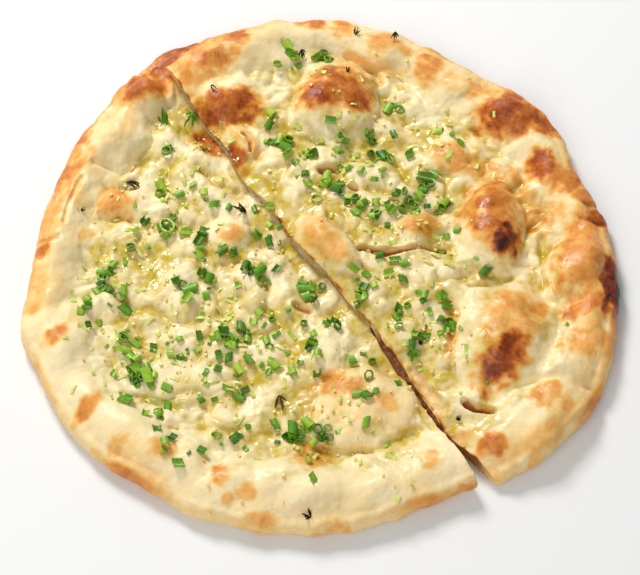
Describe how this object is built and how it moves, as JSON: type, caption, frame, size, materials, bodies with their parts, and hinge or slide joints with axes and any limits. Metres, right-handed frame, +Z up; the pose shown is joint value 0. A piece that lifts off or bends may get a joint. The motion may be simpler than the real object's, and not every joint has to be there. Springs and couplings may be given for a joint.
{
  "type": "naan bread",
  "caption": "Large round puffy naan bread cut in two, one half lying over the other's cut edge, with browned blisters, raised rim, butter and chopped herbs.",
  "frame": {"origin": "middle of the whole bread's box, on the surface it lies on", "axes": "+Z up out of the bread's face; +X to the side of the half that lies on top; +Y to the far end of the knife cut, where the halves overlap"},
  "size_m": [0.277, 0.273, 0.0246],
  "materials": {
    "baked_dough": "satin",
    "green_herb": "satin",
    "charred_herb": "matte",
    "garlic": "satin"
  },
  "bodies": {
    "root": {"left_half": "baked_dough", "right_half": "baked_dough"}
  },
  "joints": []
}
